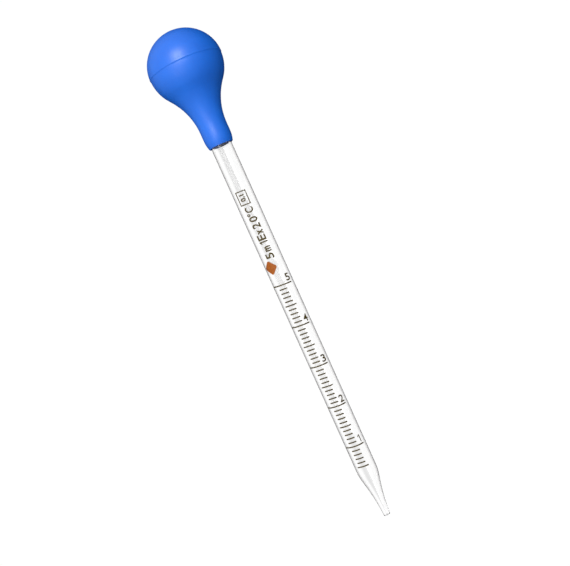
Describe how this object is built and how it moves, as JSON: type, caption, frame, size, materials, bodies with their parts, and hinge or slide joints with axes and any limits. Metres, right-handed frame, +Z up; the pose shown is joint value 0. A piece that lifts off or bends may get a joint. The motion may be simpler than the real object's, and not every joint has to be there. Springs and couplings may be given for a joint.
{
  "type": "graduated dropper pipette",
  "caption": "Straight graduated glass pipette with a drawn tip and a round rubber squeeze bulb that grips its wide end.",
  "frame": {"origin": "centre of the tip's end face, on the tube's axis", "axes": "+Z up along the tube from the tip to the bulb; -Y is the side that the printed scale faces; the bulb's press areas face -X and +X"},
  "size_m": [0.0352, 0.0352, 0.2432],
  "materials": {
    "clear_glass": "clear, fire-polished edges",
    "blue_rubber": "satin, slightly powdery",
    "scale_enamel": "fired brown-black print",
    "amber_enamel": "fired amber print"
  },
  "bodies": {
    "glass": {"glass_tube": "clear_glass"},
    "bulb": {"bulb_body": "blue_rubber"},
    "thumb_side": {"bulb_thumb_side": "blue_rubber"},
    "finger_side": {"bulb_finger_side": "blue_rubber"}
  },
  "joints": [
    {"name": "bulb_pull_off", "type": "slide", "parent": "glass", "child": "bulb", "axis": [0, 0, 1], "range_m": [0, 0.03]},
    {"name": "thumb_squeeze", "type": "slide", "parent": "bulb", "child": "thumb_side", "axis": [1, 0, 0], "range_m": [0, 0.007], "stiffness_N_per_m": 500},
    {"name": "finger_squeeze", "type": "slide", "parent": "bulb", "child": "finger_side", "axis": [-1, 0, 0], "range_m": [0, 0.007], "stiffness_N_per_m": 500}
  ],
  "couplings": [
    {"joint": "finger_squeeze", "follows": "thumb_squeeze", "ratio": 1}
  ]
}
